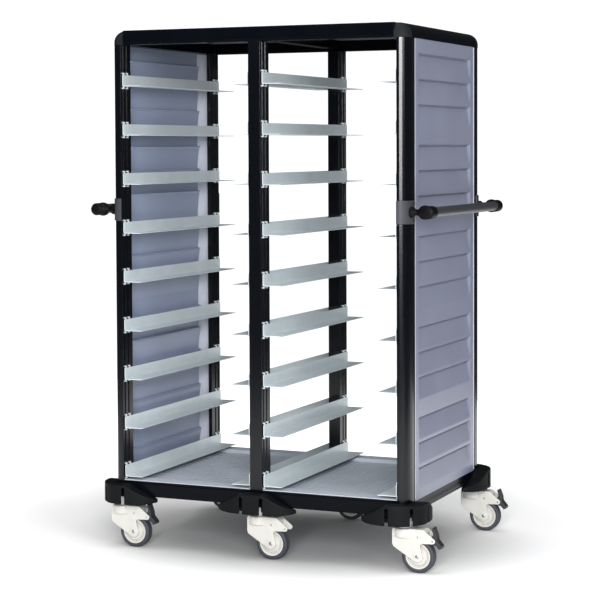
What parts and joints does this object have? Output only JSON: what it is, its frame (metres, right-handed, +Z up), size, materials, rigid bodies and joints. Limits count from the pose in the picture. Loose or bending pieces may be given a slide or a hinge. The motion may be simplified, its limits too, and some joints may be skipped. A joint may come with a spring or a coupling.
{
  "type": "meal tray cart",
  "caption": "Tall wheeled cart with solid sides, roof and floor, open front and rear, and two bays of ledges for meal trays, with push handles, bumpers and braked casters.",
  "frame": {"origin": "on the floor, under the middle of the cart's frame", "axes": "+X to the right of someone who faces the open front, -Y out of the front, +Z up"},
  "size_m": [1.146, 0.78, 1.6],
  "materials": {
    "frame": "black anodised, satin",
    "panel": "satin moulded blue-grey",
    "floor": "satin moulded blue-grey",
    "roof": "satin dark grey",
    "cap": "matte textured dark grey",
    "ledge": "satin",
    "bumper": "matte moulded black",
    "caster": "satin off-white nylon",
    "tyre": "matte dark grey",
    "pedal": "satin black",
    "handle": "satin",
    "bracket": "satin black",
    "screw": "satin"
  },
  "bodies": {
    "cart": {"post_front_left": "frame", "post_front_centre": "frame", "post_front_right": "frame", "post_rear_left": "frame", "post_rear_centre": "frame", "post_rear_right": "frame", "base_rail_front": "frame", "base_rail_rear": "frame", "base_rail_left": "frame", "base_rail_right": "frame", "base_cross_rail": "frame", "roof_rail_front": "frame", "roof_rail_rear": "frame", "roof_rail_left": "frame", "roof_rail_right": "frame", "roof_centre_beam": "frame", "floor_tray_left": "floor", "floor_tray_right": "floor", "side_panel_left": "panel", "side_panel_right": "panel", "roof_corner_caps": "cap", "roof_sheet": "roof", "ledges_left_outer": "ledge", "ledges_left_inner": "ledge", "ledges_right_inner": "ledge", "ledges_right_outer": "ledge", "bumper_front_left": "bumper", "bumper_front_centre": "bumper", "bumper_front_right": "bumper", "bumper_rear_left": "bumper", "bumper_rear_centre": "bumper", "bumper_rear_right": "bumper", "caster_stems": "caster", "handle_tube_left": "handle", "handle_brackets_left": "bracket", "handle_tube_right": "handle", "handle_brackets_right": "bracket", "fixing_screws": "screw"},
    "fork_body_front_left": {"fork_front_left": "caster"},
    "wheel_front_left": {"rim_front_left": "caster", "tyre_front_left": "tyre"},
    "fork_body_front_centre": {"fork_front_centre": "caster"},
    "wheel_front_centre": {"rim_front_centre": "caster", "tyre_front_centre": "tyre"},
    "fork_body_front_right": {"fork_front_right": "caster"},
    "wheel_front_right": {"rim_front_right": "caster", "tyre_front_right": "tyre"},
    "fork_body_rear_left": {"fork_rear_left": "caster"},
    "wheel_rear_left": {"rim_rear_left": "caster", "tyre_rear_left": "tyre"},
    "fork_body_rear_centre": {"fork_rear_centre": "caster"},
    "wheel_rear_centre": {"rim_rear_centre": "caster", "tyre_rear_centre": "tyre"},
    "fork_body_rear_right": {"fork_rear_right": "caster"},
    "wheel_rear_right": {"rim_rear_right": "caster", "tyre_rear_right": "tyre"},
    "pedal_front_left": {"brake_pedal_front_left": "pedal"},
    "pedal_front_right": {"brake_pedal_front_right": "pedal"},
    "pedal_rear_left": {"brake_pedal_rear_left": "pedal"},
    "pedal_rear_right": {"brake_pedal_rear_right": "pedal"}
  },
  "joints": [
    {"name": "swivel_front_left", "type": "hinge", "parent": "cart", "child": "fork_body_front_left", "pos_m": [-0.466, -0.32, 0.13], "axis": [0, 0, 1], "continuous": true},
    {"name": "roll_front_left", "type": "hinge", "parent": "fork_body_front_left", "child": "wheel_front_left", "pos_m": [-0.421, -0.32, 0.05], "axis": [0, 1, 0], "continuous": true},
    {"name": "brake_front_left", "type": "hinge", "parent": "fork_body_front_left", "child": "pedal_front_left", "pos_m": [-0.374, -0.32, 0.098], "axis": [0, 1, 0], "range_deg": [0, 15]},
    {"name": "swivel_front_centre", "type": "hinge", "parent": "cart", "child": "fork_body_front_centre", "pos_m": [0, -0.32, 0.13], "axis": [0, 0, 1], "continuous": true},
    {"name": "roll_front_centre", "type": "hinge", "parent": "fork_body_front_centre", "child": "wheel_front_centre", "pos_m": [0.045, -0.32, 0.05], "axis": [0, 1, 0], "continuous": true},
    {"name": "swivel_front_right", "type": "hinge", "parent": "cart", "child": "fork_body_front_right", "pos_m": [0.466, -0.32, 0.13], "axis": [0, 0, 1], "continuous": true},
    {"name": "roll_front_right", "type": "hinge", "parent": "fork_body_front_right", "child": "wheel_front_right", "pos_m": [0.511, -0.32, 0.05], "axis": [0, 1, 0], "continuous": true},
    {"name": "brake_front_right", "type": "hinge", "parent": "fork_body_front_right", "child": "pedal_front_right", "pos_m": [0.558, -0.32, 0.098], "axis": [0, 1, 0], "range_deg": [0, 15]},
    {"name": "swivel_rear_left", "type": "hinge", "parent": "cart", "child": "fork_body_rear_left", "pos_m": [-0.466, 0.32, 0.13], "axis": [0, 0, 1], "continuous": true},
    {"name": "roll_rear_left", "type": "hinge", "parent": "fork_body_rear_left", "child": "wheel_rear_left", "pos_m": [-0.421, 0.32, 0.05], "axis": [0, 1, 0], "continuous": true},
    {"name": "brake_rear_left", "type": "hinge", "parent": "fork_body_rear_left", "child": "pedal_rear_left", "pos_m": [-0.374, 0.32, 0.098], "axis": [0, 1, 0], "range_deg": [0, 15]},
    {"name": "swivel_rear_centre", "type": "hinge", "parent": "cart", "child": "fork_body_rear_centre", "pos_m": [0, 0.32, 0.13], "axis": [0, 0, 1], "continuous": true},
    {"name": "roll_rear_centre", "type": "hinge", "parent": "fork_body_rear_centre", "child": "wheel_rear_centre", "pos_m": [0.045, 0.32, 0.05], "axis": [0, 1, 0], "continuous": true},
    {"name": "swivel_rear_right", "type": "hinge", "parent": "cart", "child": "fork_body_rear_right", "pos_m": [0.466, 0.32, 0.13], "axis": [0, 0, 1], "continuous": true},
    {"name": "roll_rear_right", "type": "hinge", "parent": "fork_body_rear_right", "child": "wheel_rear_right", "pos_m": [0.511, 0.32, 0.05], "axis": [0, 1, 0], "continuous": true},
    {"name": "brake_rear_right", "type": "hinge", "parent": "fork_body_rear_right", "child": "pedal_rear_right", "pos_m": [0.558, 0.32, 0.098], "axis": [0, 1, 0], "range_deg": [0, 15]}
  ]
}
